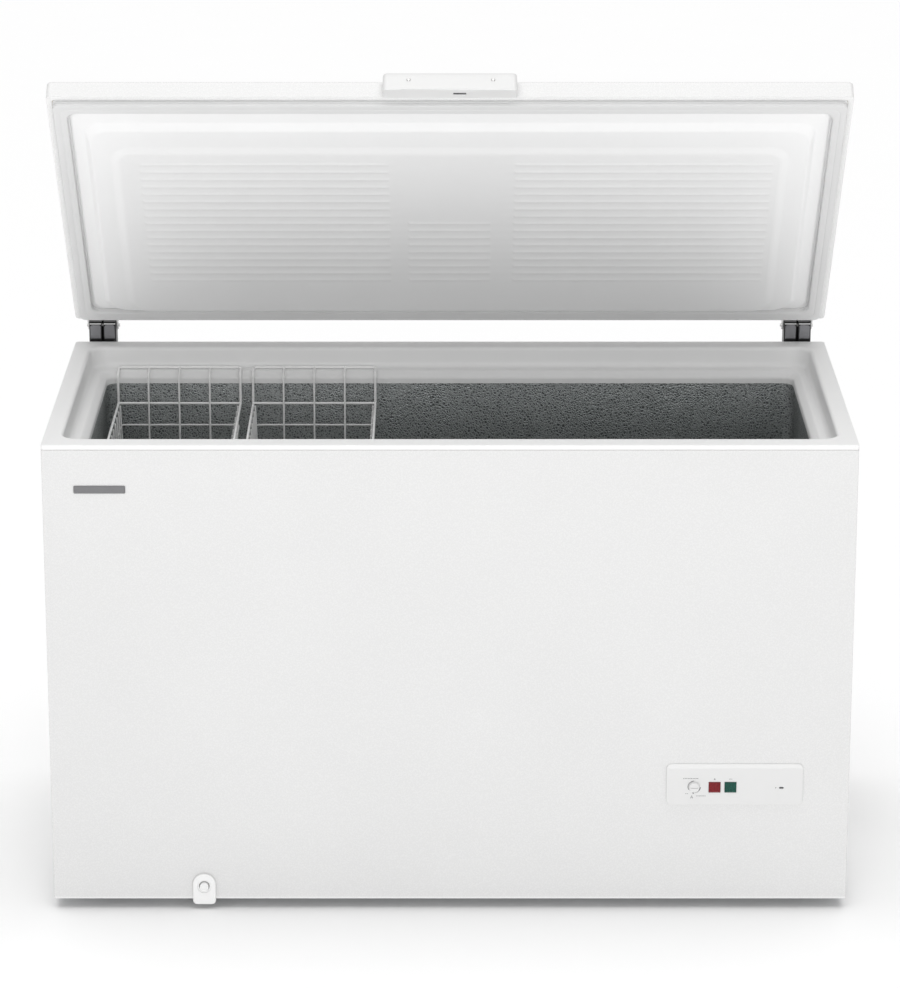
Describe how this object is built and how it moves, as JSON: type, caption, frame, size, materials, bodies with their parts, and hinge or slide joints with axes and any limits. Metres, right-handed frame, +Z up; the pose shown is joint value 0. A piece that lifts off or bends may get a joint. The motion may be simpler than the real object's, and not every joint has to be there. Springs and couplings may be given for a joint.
{
  "type": "chest freezer",
  "caption": "White chest freezer with a hinged insulated lid, a deep well with a step at one end, hanging wire baskets, a dial and a front drain.",
  "frame": {"origin": "on the floor, under the middle of the freezer's box with the lid open", "axes": "+X to the viewer's right along the front, +Y from the front to the back, +Z up"},
  "size_m": [1.41, 0.721, 1.461],
  "materials": {
    "white_enamel": "gloss",
    "white_plastic": "satin",
    "pale_gasket": "matte",
    "coated_wire": "satin",
    "embossed_liner": "satin",
    "galvanised_steel": "satin",
    "dark_hinge_steel": "satin",
    "plain_metal": "satin",
    "copper_tube": "satin",
    "black_paint": "gloss",
    "black_rubber": "matte",
    "insulation_foam": "matte",
    "red_lens": "gloss",
    "green_lens": "gloss"
  },
  "bodies": {
    "cabinet": {"outer_wrap": "white_enamel", "back_panel": "galvanised_steel", "service_cover": "galvanised_steel", "base_pan": "galvanised_steel", "machine_plate": "galvanised_steel", "foam_core": "insulation_foam", "inner_liner": "embossed_liner", "top_frame": "white_plastic", "badge_plate": "plain_metal", "control_bezel": "white_plastic", "thermostat": "plain_metal", "lamp_board": "black_rubber", "red_lamp_lens": "red_lens", "green_lamp_lens": "green_lens", "drain_housing": "white_plastic", "drain_tube": "white_plastic", "compressor": "black_paint", "compressor_base": "black_paint", "terminal_cover": "black_rubber", "compressor_mount_front_left": "black_rubber", "compressor_mount_front_right": "black_rubber", "compressor_mount_back_left": "black_rubber", "compressor_mount_back_right": "black_rubber", "filter_drier": "copper_tube", "condenser_coil": "copper_tube", "evaporator_coil": "copper_tube", "power_inlet": "black_rubber", "side_vent_grille": "white_plastic", "foot_front_left": "black_rubber", "foot_front_right": "black_rubber", "foot_back_left": "black_rubber", "foot_back_right": "black_rubber", "hinge_body_left": "dark_hinge_steel", "hinge_body_right": "dark_hinge_steel", "hinge_pin_left": "plain_metal", "hinge_pin_right": "plain_metal", "hinge_spring_left": "plain_metal", "hinge_spring_right": "plain_metal"},
    "lid": {"lid_shell": "white_enamel", "lid_foam": "insulation_foam", "lid_liner": "white_plastic", "lid_gasket": "pale_gasket", "lid_handle": "white_plastic", "handle_screw_left": "plain_metal", "handle_screw_right": "plain_metal", "handle_inset": "plain_metal", "hinge_leaf_left": "white_enamel", "hinge_leaf_right": "white_enamel"},
    "left_basket": {"left_basket_tray": "coated_wire", "left_basket_front_hanger": "coated_wire", "left_basket_rear_hanger": "coated_wire"},
    "right_basket": {"right_basket_tray": "coated_wire", "right_basket_front_hanger": "coated_wire", "right_basket_rear_hanger": "coated_wire"},
    "dial": {"dial": "white_plastic"},
    "drain_plug": {"drain_plug": "white_plastic"},
    "drain_spout": {"drain_spout": "white_plastic"},
    "drain_cap": {"drain_cap": "white_plastic"}
  },
  "joints": [
    {"name": "lid_hinge", "type": "hinge", "parent": "cabinet", "child": "lid", "pos_m": [0, 0.3478, 0.8846], "axis": [-1, 0, 0], "range_deg": [-51, 34]},
    {"name": "left_basket_slide", "type": "slide", "parent": "cabinet", "child": "left_basket", "axis": [1, 0, 0], "range_m": [-0.012, 0.016]},
    {"name": "right_basket_slide", "type": "slide", "parent": "cabinet", "child": "right_basket", "axis": [1, 0, 0], "range_m": [0, 0.75]},
    {"name": "dial_turn", "type": "hinge", "parent": "cabinet", "child": "dial", "pos_m": [0.4308, -0.3528, 0.2328], "axis": [0, 1, 0], "range_deg": [-90, 180]},
    {"name": "drain_plug_lift", "type": "slide", "parent": "cabinet", "child": "drain_plug", "axis": [0, 0, 1], "range_m": [0, 0.03]},
    {"name": "drain_spout_pull", "type": "slide", "parent": "cabinet", "child": "drain_spout", "axis": [0, -1, 0], "range_m": [0, 0.028]},
    {"name": "drain_cap_turn", "type": "hinge", "parent": "drain_spout", "child": "drain_cap", "pos_m": [-0.4368, -0.3532, 0.0437], "axis": [0, 1, 0], "range_deg": [0, 180]}
  ]
}
